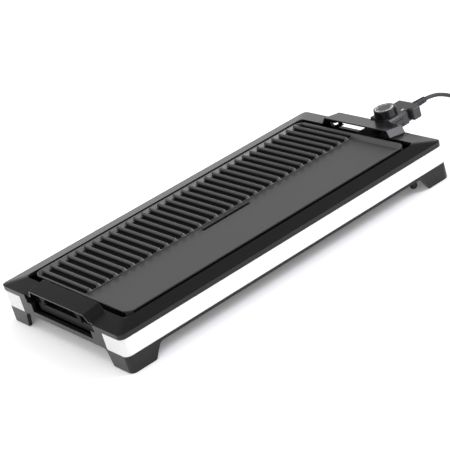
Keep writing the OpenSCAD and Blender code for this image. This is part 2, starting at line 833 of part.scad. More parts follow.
module probe_upper_shell() at_grill() color(dark)
    difference() {
        union() {
            difference() {
                intersection() {
                    translate([0, 0, probe_split]) linear_extrude(probe_height) probe_plan(0);
                    probe_chamfers();
                }
                translate([0, 0, probe_split - 1])
                    linear_extrude(probe_top - probe_wall - probe_split + 1) probe_plan(probe_wall);
            }
            intersection() {
                post_places() rod_z(0, 0, probe_split, probe_top - 1, post_r);
                translate([0, 0, probe_split]) linear_extrude(probe_height) probe_plan(1);
            }
        }
        post_places() rod_z(0, 0, probe_split - 1, probe_split + 6, 1.2);
        rod_z(knob_x, probe_y, probe_split, probe_top + 1, spindle_d / 2 + fit);
        translate([lens_x - lens_size[0] / 2, lens_y - lens_size[1] / 2, probe_split])
            cube([lens_size[0], lens_size[1], probe_height]);
        rod_x(probe_rear - probe_wall - 1, probe_rear + 1, probe_y, relief_z, relief_r - 0.1);
        vents();
    }

module side_grip() at_grill() color(dark) {
    low = [probe_rear - notch_length + 5.6, probe_right - grip_out, probe_floor + 1.5];
    high = [probe_rear - 3.2, probe_right + notch_width, probe_top + 1];
    r = 3;
    hull()
        for (x = [low[0] + r, high[0] - r], y = [low[1] + r, high[1] - r], z = [low[2] + r, high[2] - r])
            translate([x, y, z]) sphere(r, $fn = 24);
}

module contact_block() at_grill() color("#1c1c1e")
    difference() {
        union() {
            span([nose_front, probe_y - nose_half, nose_bottom],
                [probe_front, probe_y + nose_half, nose_top]);
            span([probe_front - 1, probe_y - nose_tail, probe_floor + probe_wall + 0.2],
                [probe_front + nose_inside, probe_y + nose_tail, nose_top]);
        }
        for (side = [-1, 1])
            rod_x(nose_front - 1, probe_front - 6, probe_y + side * pin_spacing / 2, element_z,
                clip_r + 0.05);
        rod_x(nose_front - 1, probe_front - 4, probe_y, element_z, rod_d / 2 + 0.05);
        span([nose_front + 4, probe_y - 4.2, nose_top - 0.4], [nose_front + 27, probe_y + 4.2, nose_top + 1]);
    }

module contact_clips() at_grill() color("#c2a35a")
    for (side = [-1, 1]) difference() {
        rod_x(nose_front + 1.5, probe_front - 6, probe_y + side * pin_spacing / 2, element_z, clip_r);
        rod_x(nose_front, probe_front - 7.5, probe_y + side * pin_spacing / 2, element_z,
            pin_d / 2 + fit);
    }

module earth_spring() at_grill() color("#c2a35a")
    span([nose_front + 4.2, probe_y - 4, nose_top - 0.4],
        [nose_front + 26.8, probe_y + 4, nose_top + shroud_gap - 0.2]);

module sensor_rod() at_grill() color(steel)
    union() {
        rod_x(nose_front - rod_reach + rod_d / 2, probe_front - 4, probe_y, element_z, rod_d / 2);
        translate([nose_front - rod_reach + rod_d / 2, probe_y, element_z]) sphere(rod_d / 2);
    }

module thermostat_switch() at_grill() color("#8d8377")
    difference() {
        span([probe_front + nose_inside + 0.4, probe_y - 12, probe_floor + probe_wall],
            [probe_front + 27, probe_y + 12, probe_split + 3]);
        rod_z(knob_x, probe_y, probe_floor + 6, probe_top, spindle_d / 2 + fit);
    }

module pilot_lamp() at_grill() color("#c8642a")
    union() {
        rod_z(lens_x, lens_y, probe_floor + probe_wall, probe_split + 2, 2.2);
        rod_z(lens_x, lens_y, probe_split + 1, probe_top - 3, 1.7);
    }

module lamp_lens() at_grill() color("#e8e2d8")
    span([lens_x - lens_size[0] / 2 + 0.1, lens_y - lens_size[1] / 2 + 0.1, probe_top - 2],
        [lens_x + lens_size[0] / 2 - 0.1, lens_y + lens_size[1] / 2 - 0.1, probe_top + 0.4]);

module inner_wires() at_grill() color("#8a3b22")
    for (dy = [-2.6, 0, 2.6])
        rod_x(probe_front + 27, probe_rear - relief_inside, probe_y + dy, relief_z, 0.9);

module cord_clamp() at_grill() color(black)
    difference() {
        span([saddle_x, probe_y - 7, probe_floor + probe_wall], [saddle_x + 5, probe_y + 7, relief_z + 5.5]);
        rod_x(saddle_x - 1, saddle_x + 6, probe_y, relief_z, 4);
    }

module probe_screws() at_grill() color(steel)
    post_places() mirror([0, 0, 1])
        screw_down(0, 0, -probe_floor - 2, 1.1, probe_split - probe_floor + 2, 2.5, 1.4);

function ring_r(x) = relief_r - (relief_r - relief_tip_r) * x / relief_length;

module strain_relief() at_grill() color("#141416") {
    step = (relief_length - 2) / relief_rings;
    translate([probe_rear, probe_y, relief_z]) rotate([0, 90, 0]) rotate_extrude() polygon(concat(
        [[0, -relief_inside], [relief_flange_r, -relief_inside], [relief_flange_r, -probe_wall - 0.1],
        [relief_r - 0.2, -probe_wall - 0.1], [relief_r - 0.2, 0]],
        [for (i = [0 : relief_rings - 1]) let (x = 0.6 + i * step)
            for (p = [[ring_r(x), x], [ring_r(x), x + step * 0.55],
                [ring_r(x) - 1.2, x + step * 0.62], [ring_r(x) - 1.2, x + step * 0.93]]) p],
        [[relief_tip_r, relief_length - 1.2], [relief_tip_r, relief_length], [0, relief_length]]));
}

knob_z = probe_top + part_gap;
knob_top_r = knob_d / 2 - 1;
dial_inner = 10.4;
dial_outer = 16;
dial_depth = 0.6;
cap_r = 9.4;
cap_depth = 1;

module knob() at_grill() color("#0e0e10")
    translate([knob_x, probe_y, knob_z]) difference() {
        rotate_extrude($fn = 96) polygon(concat(
            [[0, 0], [knob_d / 2 - 0.6, 0], [knob_d / 2, 0.8]],
            arc([knob_top_r - 1, knob_height - 1], 1, 10, 90, 4), [[0, knob_height]]));
        difference() {
            rod_z(0, 0, knob_height - dial_depth, knob_height + 1, dial_outer + 0.1);
            rod_z(0, 0, knob_height - dial_depth - 1, knob_height + 2, dial_inner - 0.1);
        }
        rod_z(0, 0, knob_height - cap_depth, knob_height + 1, cap_r + 0.1);
        rod_z(0, 0, -1, knob_height - 4, spindle_d / 2);
    }

module dial_ring() at_grill() color("#d9d9d6")
    difference() {
        rod_z(knob_x, probe_y, knob_z + knob_height - dial_depth, knob_z + knob_height, dial_outer);
        rod_z(knob_x, probe_y, knob_z, knob_z + knob_height + 1, dial_inner);
    }

module knob_cap() at_grill() color("#3a3a3e")
    rod_z(knob_x, probe_y, knob_z + knob_height - cap_depth, knob_z + knob_height + 0.2, cap_r);

module knob_spindle() at_grill() color(steel)
    rod_z(knob_x, probe_y, probe_floor + 6.2, knob_z + knob_height - 4, spindle_d / 2);

// Cord: its route beyond the strain relief, as distance past it, y and height

lead_route = [
    [0, -23, 62], [7, -23, 61.8], [18, -23, 60], [30, -23, 56.5], [45, -23, 49],
    [60, -23, 39], [75, -23, 27.8], [90, -23, 17.2], [105, -23.4, 9], [120, -25.6, 5],
    [135, -31, 4], [146, -43, 4.1], [151, -58, 4.15], [151, -68, 4.15]];
tail_route = [
    [151, -82, 11.15], [151, -89, 11.3], [151, -100, 13], [151, -112, 16.2],
    [151, -124, 18.4], [151, -131, 18.6]];
cord_r = cord_d / 2;
coil_start = [151, -68, 4.15];
coil_r = 43;
coil_turns = 2.75;
coil_pitch = 7.1;
coil_layer = 7;
coil_dip = 1.3;
coil_lead = 7;
coil_steps = 24;
tie_sheet = 0.8;
tie_width = 6;

function unit(v) = v / norm(v);
function along(path, i) =
    unit(path[min(i + 1, len(path) - 1)] - path[max(i - 1, 0)]);

// Rings of points round a path
function ring_points(path, r, sides) =
    [for (i = [0 : len(path) - 1])
        let (t = along(path, i), side = unit(cross(t, [0, 0, 1])), up = cross(side, t))
        for (k = [0 : sides - 1])
            path[i] + r * (cos(360 * (k + 0.5) / sides) * side + sin(360 * (k + 0.5) / sides) * up)];
function tube_faces(rings, sides) = concat(
    [for (k = [1 : sides - 2]) [0, k, k + 1]],
    [for (i = [0 : rings - 2], k = [0 : sides - 1])
        let (a = i * sides + k, b = i * sides + (k + 1) % sides)
        for (f = [[a, a + sides, b], [b, a + sides, b + sides]]) f],
    [for (k = [1 : sides - 2]) let (last = (rings - 1) * sides) [last, last + k + 1, last + k]]);

module tube(path, r, sides)
    polyhedron(points = ring_points(path, r, sides), faces = tube_faces(len(path), sides));

// Smooth curve through hand-set points
function curve(p, steps) = concat(
    [for (i = [0 : len(p) - 2], s = [0 : steps - 1])
        let (a = p[max(i - 1, 0)], b = p[i], c = p[i + 1], d = p[min(i + 2, len(p) - 1)], t = s / steps)
        0.5 * (2 * b + (c - a) * t + (2 * a - 5 * b + 4 * c - d) * t * t
            + (3 * b - a - 3 * c + d) * t * t * t)],
    [p[len(p) - 1]]);

// Two layers of loops: inward at the bottom, up in half a turn, outward on top
function coil_radius(turn) =
    turn < coil_turns ? coil_r - coil_pitch * turn
    : turn < coil_turns + 0.5 ?
        coil_r - coil_pitch * coil_turns - coil_dip * sin(360 * (turn - coil_turns))
    : coil_r - coil_pitch * (2 * coil_turns + 0.5 - turn);
function coil_height(turn) =
    let (rise = min(max((turn - coil_turns) / 0.5, 0), 1))
    coil_layer * rise * rise * (3 - 2 * rise);
coil_all = 2 * coil_turns + 0.5;
coil_path = concat(
    [coil_start],
    [for (i = [0 : coil_all * coil_steps])
        let (turn = i / coil_steps)
        coil_start + [coil_radius(turn) * cos(360 * turn) - coil_r,
            -coil_lead - coil_radius(turn) * sin(360 * turn), coil_height(turn)]],
    [coil_start + [0, -2 * coil_lead, coil_layer]]);

coil_gaps = [for (i = [0 : len(coil_path) - 1], j = [i + 12 : 1 : len(coil_path) - 1])
    norm(coil_path[i] - coil_path[j]) - cord_d];
echo("least gap between the coil's loops", min(coil_gaps));

module at_cord() translate([grill_x + relief_end, 0, 0]) children();

module cord_lead() at_cord() color("#1b1b1e") tube(curve(lead_route, 1), cord_r, 8);
module cord_tail() at_cord() color("#1b1b1e") tube(curve(tail_route, 1), cord_r, 8);
module cord_coil() at_cord() color("#1b1b1e") tube(coil_path, cord_r, 6);

module cord_tie() at_cord() color("#2b2b2e") {
    middle = [coil_start[0] - coil_r, coil_start[1] - coil_lead];
    inner = coil_r - coil_pitch * (coil_turns - 0.25) - cord_r - 0.3;
    outer = coil_r - coil_pitch / 2 + cord_r + 0.3;
    top = coil_start[2] + coil_layer + cord_r + 0.2;
    bottom = tie_sheet;
    translate([middle[0] - outer, middle[1], 0]) along_y(-tie_width / 2, tie_width / 2)
        difference() {
            translate([-tie_sheet, 0])
                square([outer - inner + 2 * tie_sheet, top + tie_sheet]);
            translate([0, bottom]) square([outer - inner, top - bottom]);
        }
}

plug_r = 18.5;
plug_axis = [151, -131, 18.6];
plug_length = 40;
plug_face = 15;
plug_neck = 6;
plug_waist = 10;
plug_pin_r = 2.4;
plug_pin_length = 19;
plug_pin_spacing = 19;

module at_plug() at_cord() translate(plug_axis) rotate([90, 0, 0]) children();

module plug_body() at_plug() color("#18181a")
    rotate_extrude() polygon(concat(
        [[0, 0], [plug_neck, 0]], arc([plug_neck, 3], 3, -60, 0, 3),
        arc([plug_neck + plug_waist + 3, 8], plug_waist, 180, 130, 5),
        arc([plug_r - 6, plug_length - plug_face], 6, 60, 0, 5),
        arc([plug_r - 1, plug_length - 1], 1, 0, 90, 3), [[0, plug_length]]));

module plug_pins() at_plug() color(steel)
    for (side = [-1, 1]) translate([side * plug_pin_spacing / 2, 0, plug_length])
        rotate_extrude() polygon(concat([[0, 0], [plug_pin_r, 0]],
            arc([plug_pin_r - 1, plug_pin_length - 1], 1, 0, 90, 4), [[0, plug_pin_length]]));

rim_frame();
lower_frame();
front_trim_band();
rear_trim_band();
heat_shield();
front_tray_rail();
rear_tray_rail();
rest_pads();
foot_pads();
frame_screws();
shield_screws();
rail_screws();
cooking_plate();
heating_element();
terminal_insulators();
terminal_pins();
sensor_sleeve();
socket_shroud();
shroud_screws();
tray_end_handle();
socket_end_handle();
handle_brackets();
bracket_screws();
drip_tray();
contact_block();
contact_clips();
earth_spring();
sensor_rod();
probe_lower_shell();
probe_upper_shell();
side_grip();
thermostat_switch();
pilot_lamp();
lamp_lens();
inner_wires();
cord_clamp();
probe_screws();
strain_relief();
knob();
dial_ring();
knob_cap();
knob_spindle();
cord_lead();
cord_coil();
cord_tail();
cord_tie();
plug_body();
plug_pins();
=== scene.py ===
import json
import math

import bmesh
import bpy
from mathutils import Matrix, Vector


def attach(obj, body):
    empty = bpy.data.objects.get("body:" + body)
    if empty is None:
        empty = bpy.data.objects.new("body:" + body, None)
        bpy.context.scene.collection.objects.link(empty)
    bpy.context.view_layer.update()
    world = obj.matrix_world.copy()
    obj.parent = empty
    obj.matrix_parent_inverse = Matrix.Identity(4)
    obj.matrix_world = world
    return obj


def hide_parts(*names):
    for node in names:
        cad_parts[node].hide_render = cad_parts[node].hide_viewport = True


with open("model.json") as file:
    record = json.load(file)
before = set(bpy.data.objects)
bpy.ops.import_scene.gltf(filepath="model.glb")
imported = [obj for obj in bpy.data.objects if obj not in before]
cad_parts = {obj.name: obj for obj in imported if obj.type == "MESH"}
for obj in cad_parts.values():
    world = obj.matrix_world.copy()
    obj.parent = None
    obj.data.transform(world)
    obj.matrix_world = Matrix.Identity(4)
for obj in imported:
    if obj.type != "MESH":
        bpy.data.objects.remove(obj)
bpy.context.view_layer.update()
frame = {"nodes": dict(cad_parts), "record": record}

MM = 0.001


# Sizes that the looks need, in metres, as in the part's own source

GRILL_X = -0.048889
HALF_LENGTH = 0.3
HALF_WIDTH = 0.161
RIM_END = 0.030
RIM_SIDE = 0.0275
RIM_RISE = 0.0047
PLATE_END = 0.2606
PLATE_SIDE = 0.1261
RELIEF_END = (0.348889, -0.023, 0.062)
CORD_D = 0.0065
KNOB_AXIS = (0.268389, -0.023)

# Heights and skins that the masks in the finishes use, in metres

RIM_LIP_TOP = 0.0599
# From here on they place the painted shade on the cooking plate: its sides, underside and rib
# grooves
CASTING_EDGE = 0.0636
CASTING_UNDER = 0.0575
SIDE_SKIN = 0.0012
GROOVE_TOP = 0.0651
GROOVE_BOTTOM = 0.0618
RIBS_FROM_Y = -0.0046
RAISED_EDGE = 0.008
GROOVE_SHADE_SHARE = 0.9


# Camera: the photograph's viewpoint

LENS_MM = 132.88
SENSOR_MM = 36.0
CAMERA_AT = (-1.180889, -1.922151, 1.035250)
HEADING = math.radians(30.4491)
DOWNWARD = math.radians(24.0709)
ROLL = math.radians(17.2363)


def make_camera():
    data = bpy.data.cameras.new("camera")
    data.lens = LENS_MM
    data.sensor_width = SENSOR_MM
    data.clip_start = 0.05
    data.clip_end = 50
    camera = bpy.data.objects.new("camera", data)
    turn = (
        Matrix.Rotation(-HEADING, 4, "Z")
        @ Matrix.Rotation(math.pi / 2 - DOWNWARD, 4, "X")
        @ Matrix.Rotation(-ROLL, 4, "Z")
    )
    camera.matrix_world = Matrix.Translation(CAMERA_AT) @ turn
    bpy.context.collection.objects.link(camera)
    bpy.context.scene.camera = camera


make_camera()


# Cord: the route of the part's source, as distance past the strain relief, y and height

LEAD_ROUTE = [
    (0, -23, 62), (7, -23, 61.8), (18, -23, 60), (30, -23, 56.5), (45, -23, 49),
    (60, -23, 39), (75, -23, 27.8), (90, -23, 17.2), (105, -23.4, 9), (120, -25.6, 5),
    (135, -31, 4), (146, -43, 4.1), (151, -58, 4.15), (151, -68, 4.15)]
TAIL_ROUTE = [
    (151, -82, 11.15), (151, -89, 11.3), (151, -100, 13), (151, -112, 16.2),
    (151, -124, 18.4), (151, -131, 18.6)]
COIL_START = (151, -68, 4.15)
COIL_R = 43
COIL_TURNS = 2.75
COIL_PITCH = 7.1
COIL_LAYER = 7
COIL_DIP = 1.3
COIL_LEAD = 7
COIL_STEPS = 24


def coil_radius(turn):
    if turn < COIL_TURNS:
        return COIL_R - COIL_PITCH * turn
    if turn < COIL_TURNS + 0.5:
        dip = COIL_DIP * math.sin(math.tau * (turn - COIL_TURNS))
        return COIL_R - COIL_PITCH * COIL_TURNS - dip
    return COIL_R - COIL_PITCH * (2 * COIL_TURNS + 0.5 - turn)


def coil_height(turn):
    rise = min(max((turn - COIL_TURNS) / 0.5, 0), 1)
    return COIL_LAYER * rise * rise * (3 - 2 * rise)


def coil_points():
    x0, y0, z0 = COIL_START
    points = []
    for i in range(int((2 * COIL_TURNS + 0.5) * COIL_STEPS) + 1):
        turn = i / COIL_STEPS
        r = coil_radius(turn)
        points.append((
            x0 + r * math.cos(math.tau * turn) - COIL_R,
            y0 - COIL_LEAD - r * math.sin(math.tau * turn),
            z0 + coil_height(turn)))
    return points


def smooth(points, steps):
    """Points of a smooth curve through given ones."""
    made = []
    for i in range(len(points) - 1):
        a = Vector(points[max(i - 1, 0)])
        b = Vector(points[i])
        c = Vector(points[i + 1])
        d = Vector(points[min(i + 2, len(points) - 1)])
        for s in range(steps):
            t = s / steps
            made.append(0.5 * (2 * b + (c - a) * t + (2 * a - 5 * b + 4 * c - d) * t ** 2
                               + (3 * b - a - 3 * c + d) * t ** 3))
    made.append(Vector(points[-1]))
    return made


def cord_route():
    points = smooth(LEAD_ROUTE + coil_points() + TAIL_ROUTE, 2)
    return [((RELIEF_END[0] * 1000 + p[0]) * MM, p[1] * MM, p[2] * MM) for p in points]


def make_tube(name, route, radius, sides=16):
    """A round tube along a route, as one closed mesh."""
    mesh = bmesh.new()
    rings = []
    side = None
    for i, p in enumerate(route):
        ahead = Vector(route[min(i + 1, len(route) - 1)]) - Vector(route[max(i - 1, 0)])
        ahead.normalize()
        side = ahead.cross(Vector((0, 0, 1))).normalized()
        up = side.cross(ahead)
        rings.append([
            mesh.verts.new(Vector(p) + radius * (math.cos(a) * side + math.sin(a) * up))
            for a in (math.tau * k / sides for k in range(sides))])
    for one, two in zip(rings, rings[1:]):
        for k in range(sides):
            n = (k + 1) % sides
            mesh.faces.new((one[k], two[k], two[n], one[n]))
    mesh.faces.new(rings[0])
    mesh.faces.new(list(reversed(rings[-1])))
    return link_mesh(name, mesh)


def link_mesh(name, mesh):
    bmesh.ops.recalc_face_normals(mesh, faces=mesh.faces[:])
    data = bpy.data.meshes.new(name)
    mesh.to_mesh(data)
    mesh.free()
    for face in data.polygons:
        face.use_smooth = True
    made = bpy.data.objects.new(name, data)
    bpy.context.collection.objects.link(made)
    return made


def make_cord():
    route = cord_route()
    cord = make_tube("cord", route, CORD_D / 2)
    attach(cord, "probe")
    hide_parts("cord_lead", "cord_coil", "cord_tail")
    return cord


CORD = make_cord()


# Shader groups shared by several finishes


def new_group(name, inputs, outputs):
    group = bpy.data.node_groups.new(name, "ShaderNodeTree")
    for label, kind, value in inputs:
        socket = group.interface.new_socket(label, in_out="INPUT", socket_type=kind)
        if value is not None:
            socket.default_value = value
    for label, kind in outputs:
        group.interface.new_socket(label, in_out="OUTPUT", socket_type=kind)
    return group, group.nodes.new("NodeGroupInput"), group.nodes.new("NodeGroupOutput")


def add(tree, kind, **settings):
    node = tree.nodes.new(kind)
    for name, value in settings.items():
        setattr(node, name, value)
    return node


def grain_group():
    """Fine moulded or sprayed grain: a height, a tone that drifts slowly and a varied roughness."""
    group, given, out = new_group(
        "grain",
        [("Grain size", "NodeSocketFloat", 900.0), ("Patch size", "NodeSocketFloat", 9.0),
         ("Roughness", "NodeSocketFloat", 0.4), ("Roughness spread", "NodeSocketFloat", 0.06),
         ("Tone", "NodeSocketColor", (0.1, 0.1, 0.1, 1)), ("Tone spread", "NodeSocketFloat", 0.06)],
        [("Height", "NodeSocketFloat"), ("Roughness", "NodeSocketFloat"),
         ("Tone", "NodeSocketColor")])
    place = add(group, "ShaderNodeTexCoord")
    fine = add(group, "ShaderNodeTexNoise")
    fine.inputs["Detail"].default_value = 3.0
    broad = add(group, "ShaderNodeTexNoise")
    broad.inputs["Detail"].default_value = 2.0
    group.links.new(place.outputs["Object"], fine.inputs["Vector"])
    group.links.new(place.outputs["Object"], broad.inputs["Vector"])
    group.links.new(given.outputs["Grain size"], fine.inputs["Scale"])
    group.links.new(given.outputs["Patch size"], broad.inputs["Scale"])
    centred = add(group, "ShaderNodeMath", operation="SUBTRACT")
    centred.inputs[1].default_value = 0.5
    group.links.new(broad.outputs["Fac"], centred.inputs[0])
    rough = add(group, "ShaderNodeMath", operation="MULTIPLY_ADD")
    group.links.new(centred.outputs[0], rough.inputs[0])
    group.links.new(given.outputs["Roughness spread"], rough.inputs[1])
    group.links.new(given.outputs["Roughness"], rough.inputs[2])
    gain = add(group, "ShaderNodeMath", operation="MULTIPLY_ADD")
    gain.inputs[2].default_value = 1.0
    group.links.new(centred.outputs[0], gain.inputs[0])
    group.links.new(given.outputs["Tone spread"], gain.inputs[1])
    tone = add(group, "ShaderNodeVectorMath", operation="SCALE")
    group.links.new(given.outputs["Tone"], tone.inputs[0])
    group.links.new(gain.outputs[0], tone.inputs["Scale"])
    group.links.new(fine.outputs["Fac"], out.inputs["Height"])
    group.links.new(rough.outputs[0], out.inputs["Roughness"])
    group.links.new(tone.outputs[0], out.inputs["Tone"])
    return group


GRAIN = grain_group()


def math_node(tree, operation, first, second=None):
    """A Math node; each input is a socket or a number."""
    node = add(tree, "ShaderNodeMath", operation=operation)
    for i, value in enumerate((first, second)):
        if isinstance(value, (int, float)):
            node.inputs[i].default_value = value
        elif value is not None:
            tree.links.new(value, node.inputs[i])
    return node.outputs[0]


# How far a normal stands up where the rim starts to slope, fully slopes, and lies flat

SLOPE_FROM = 0.978
SLOPE_TO = 0.984
FLAT_FROM = 0.9905


def rim_corner_group():
    """The rim's end and side slopes run into each other in a soft sweep at the corners."""
    group, given, out = new_group(
        "rim_corner", [("Sweep", "NodeSocketFloat", 0.5)], [("Normal", "NodeSocketVector")])
    place = add(group, "ShaderNodeTexCoord")
    spot = add(group, "ShaderNodeSeparateXYZ")
    group.links.new(place.outputs["Object"], spot.inputs[0])
    shape = add(group, "ShaderNodeNewGeometry")
    facing = add(group, "ShaderNodeSeparateXYZ")
    group.links.new(shape.outputs["Normal"], facing.inputs[0])
    along = math_node(group, "SUBTRACT", spot.outputs["X"], GRILL_X)
    from_end = math_node(group, "SUBTRACT", HALF_LENGTH, math_node(group, "ABSOLUTE", along))
    from_side = math_node(
        group, "SUBTRACT", HALF_WIDTH, math_node(group, "ABSOLUTE", spot.outputs["Y"]))
    lead = math_node(
        group, "SUBTRACT", math_node(group, "DIVIDE", from_end, RIM_END),
        math_node(group, "DIVIDE", from_side, RIM_SIDE))
    blend = add(group, "ShaderNodeMapRange", interpolation_type="SMOOTHERSTEP")
    group.links.new(lead, blend.inputs["Value"])
    group.links.new(math_node(group, "MULTIPLY", given.outputs["Sweep"], -1.0),
                    blend.inputs["From Min"])
    group.links.new(given.outputs["Sweep"], blend.inputs["From Max"])
    side = blend.outputs["Result"]
    end = math_node(group, "SUBTRACT", 1.0, side)
    tilt = add(group, "ShaderNodeCombineXYZ")
    group.links.new(
        math_node(group, "MULTIPLY", end, math_node(
            group, "MULTIPLY", math_node(group, "SIGN", along), RIM_RISE / RIM_END)),
        tilt.inputs["X"])
    group.links.new(
        math_node(group, "MULTIPLY", side, math_node(
            group, "MULTIPLY", math_node(group, "SIGN", spot.outputs["Y"]), RIM_RISE / RIM_SIDE)),
        tilt.inputs["Y"])
    tilt.inputs["Z"].default_value = 1.0
    on_slope = add(group, "ShaderNodeMapRange")
    on_slope.inputs["From Min"].default_value = SLOPE_FROM
    on_slope.inputs["From Max"].default_value = SLOPE_TO
    group.links.new(facing.outputs["Z"], on_slope.inputs["Value"])
    above_lip = math_node(group, "GREATER_THAN", spot.outputs["Z"], RIM_LIP_TOP)
    on_flat = math_node(group, "LESS_THAN", facing.outputs["Z"], FLAT_FROM)
    mask = math_node(group, "MULTIPLY", math_node(
        group, "MULTIPLY", on_slope.outputs["Result"], above_lip), on_flat)
    pick = add(group, "ShaderNodeMix", data_type="VECTOR")
    group.links.new(mask, pick.inputs[0])
    group.links.new(shape.outputs["Normal"], pick.inputs[4])
    group.links.new(tilt.outputs[0], pick.inputs[5])
    even = add(group, "ShaderNodeVectorMath", operation="NORMALIZE")
    group.links.new(pick.outputs[1], even.inputs[0])
    group.links.new(even.outputs[0], out.inputs["Normal"])
    return group


RIM_CORNER = rim_corner_group()


def painted_shade_group():
    """Mask of painted shade on the casting: its outer sides and underside below the lip, and the
    rib grooves between the ribs, all painted black.
    """
    group, given, out = new_group(
        "painted_shade", [("Edge height", "NodeSocketFloat", CASTING_EDGE)],
        [("Mask", "NodeSocketFloat")])
    place = add(group, "ShaderNodeTexCoord")
    spot = add(group, "ShaderNodeSeparateXYZ")
    group.links.new(place.outputs["Object"], spot.inputs[0])
    along = math_node(group, "ABSOLUTE", math_node(
        group, "SUBTRACT", spot.outputs["X"], GRILL_X))
    past_end = math_node(group, "GREATER_THAN", along, PLATE_END - SIDE_SKIN)
    past_side = math_node(
        group, "GREATER_THAN", math_node(group, "ABSOLUTE", spot.outputs["Y"]),
        PLATE_SIDE - SIDE_SKIN)
    below = math_node(group, "LESS_THAN", spot.outputs["Z"], given.outputs["Edge height"])
    # Painted shade on the outer sides under the lip and on the underside
    outer = math_node(group, "MULTIPLY", math_node(
        group, "MAXIMUM", past_end, past_side), below)
    under = math_node(group, "LESS_THAN", spot.outputs["Z"], CASTING_UNDER)
    groove = add(group, "ShaderNodeMapRange", interpolation_type="SMOOTHSTEP")
    groove.inputs["From Min"].default_value = GROOVE_TOP
    groove.inputs["From Max"].default_value = GROOVE_BOTTOM
    group.links.new(spot.outputs["Z"], groove.inputs["Value"])
    ribbed = math_node(group, "GREATER_THAN", spot.outputs["Y"], RIBS_FROM_Y)
    inside = math_node(
        group, "LESS_THAN", math_node(group, "ABSOLUTE", spot.outputs["Y"]),
        PLATE_SIDE - RAISED_EDGE)
    # Painted shade down in the grooves between the ribs, fading out up their sides
    grooves = math_node(group, "MULTIPLY", groove.outputs["Result"], math_node(
        group, "MULTIPLY", math_node(group, "MULTIPLY", ribbed, inside), GROOVE_SHADE_SHARE))
    group.links.new(math_node(group, "MAXIMUM", grooves, math_node(
        group, "MAXIMUM", outer, under)), out.inputs["Mask"])
    return group


PAINTED_SHADE_MASK = painted_shade_group()


def finish(name, tone, roughness, specular=0.5, metallic=0.0, grain=900.0, depth=0.00002,
           patch=9.0, rough_spread=0.06, tone_spread=0.08):
    """A finish: a Principled surface fed by the grain group, with its height as a fine bump."""
    material = bpy.data.materials.new(name)
    material.use_nodes = True
    tree = material.node_tree
    shader = tree.nodes["Principled BSDF"]
    shader.inputs["Metallic"].default_value = metallic
    shader.inputs["Specular IOR Level"].default_value = specular
    surface = add(tree, "ShaderNodeGroup", node_tree=GRAIN)
    surface.inputs["Grain size"].default_value = grain
    surface.inputs["Patch size"].default_value = patch
    surface.inputs["Roughness"].default_value = roughness
    surface.inputs["Roughness spread"].default_value = rough_spread
    surface.inputs["Tone"].default_value = (*tone, 1)
    surface.inputs["Tone spread"].default_value = tone_spread
    bump = add(tree, "ShaderNodeBump")
    bump.inputs["Distance"].default_value = depth
    tree.links.new(surface.outputs["Height"], bump.inputs["Height"])
    tree.links.new(surface.outputs["Roughness"], shader.inputs["Roughness"])
    tree.links.new(surface.outputs["Tone"], shader.inputs["Base Color"])
    tree.links.new(bump.outputs["Normal"], shader.inputs["Normal"])
    return material


FINISHES = {
    "frame_black": finish("frame_black", (0.009, 0.009, 0.009), 0.22, specular=0.34, grain=1100.0,
                          depth=0.000012, tone_spread=0.15),
    "trim_white": finish("trim_white", (0.9, 0.9, 0.89), 0.3, specular=0.4, tone_spread=0.02,
                         depth=0.000006),
    # Painted shade: the sheet pieces under the handles are set near black and almost without
    # reflection, standing in for the shade there, though the slot is named for zinc
    "zinc_sheet": finish("zinc_sheet", (0.012, 0.012, 0.012), 0.65, metallic=1.0, grain=500.0),
    "pad_rubber": finish("pad_rubber", (0.42, 0.4, 0.36), 0.7),
    "foot_rubber": finish("foot_rubber", (0.012, 0.012, 0.012), 0.75, specular=0.2),
    "screw_steel": finish("screw_steel", (0.2, 0.2, 0.2), 0.35, metallic=1.0),
    "plate_coat": finish("plate_coat", (0.042, 0.042, 0.041), 0.4, specular=0.9, grain=1500.0,
                         depth=0.00003, patch=16.0, tone_spread=0.3, rough_spread=0.12),
    "element_steel": finish("element_steel", (0.2, 0.19, 0.18), 0.45, metallic=1.0),
    "ceramic": finish("ceramic", (0.72, 0.69, 0.62), 0.6),
    "pin_chrome": finish("pin_chrome", (0.78, 0.78, 0.78), 0.14, metallic=1.0, depth=0.0),
    "handle_black": finish("handle_black", (0.009, 0.009, 0.009), 0.22, specular=0.33,
                           grain=1100.0, depth=0.000012, tone_spread=0.15),
    # The drip tray is dark enamel, set near black here as painted shade for the dark slot it sits
    # in
    "tray_enamel": finish("tray_enamel", (0.006, 0.006, 0.006), 0.5, specular=0.2),
    "probe_inner": finish("probe_inner", (0.012, 0.012, 0.012), 0.55, specular=0.25),
    "brass": finish("brass", (0.75, 0.56, 0.25), 0.25, metallic=1.0),
    "rod_steel": finish("rod_steel", (0.6, 0.6, 0.6), 0.2, metallic=1.0),
    "probe_grey": finish("probe_grey", (0.035, 0.035, 0.037), 0.38, specular=0.5, grain=1300.0,
                         depth=0.00002, tone_spread=0.12),
    "lamp_glass": finish("lamp_glass", (0.8, 0.25, 0.08), 0.15),
    "lens_clear": finish("lens_clear", (0.62, 0.62, 0.64), 0.2),
    "wire_coat": finish("wire_coat", (0.3, 0.1, 0.05), 0.5),
    "cord_rubber": finish("cord_rubber", (0.03, 0.03, 0.032), 0.45, grain=1500.0),
    "knob_gloss": finish("knob_gloss", (0.004, 0.004, 0.005), 0.12, specular=0.45, depth=0.0),
    "dial_print": finish("dial_print", (0.07, 0.07, 0.072), 0.3, depth=0.0),
    "cap_grey": finish("cap_grey", (0.045, 0.045, 0.047), 0.3),
    "tie_black": finish("tie_black", (0.02, 0.02, 0.02), 0.5),
    "plug_black": finish("plug_black", (0.02, 0.02, 0.02), 0.42),
}


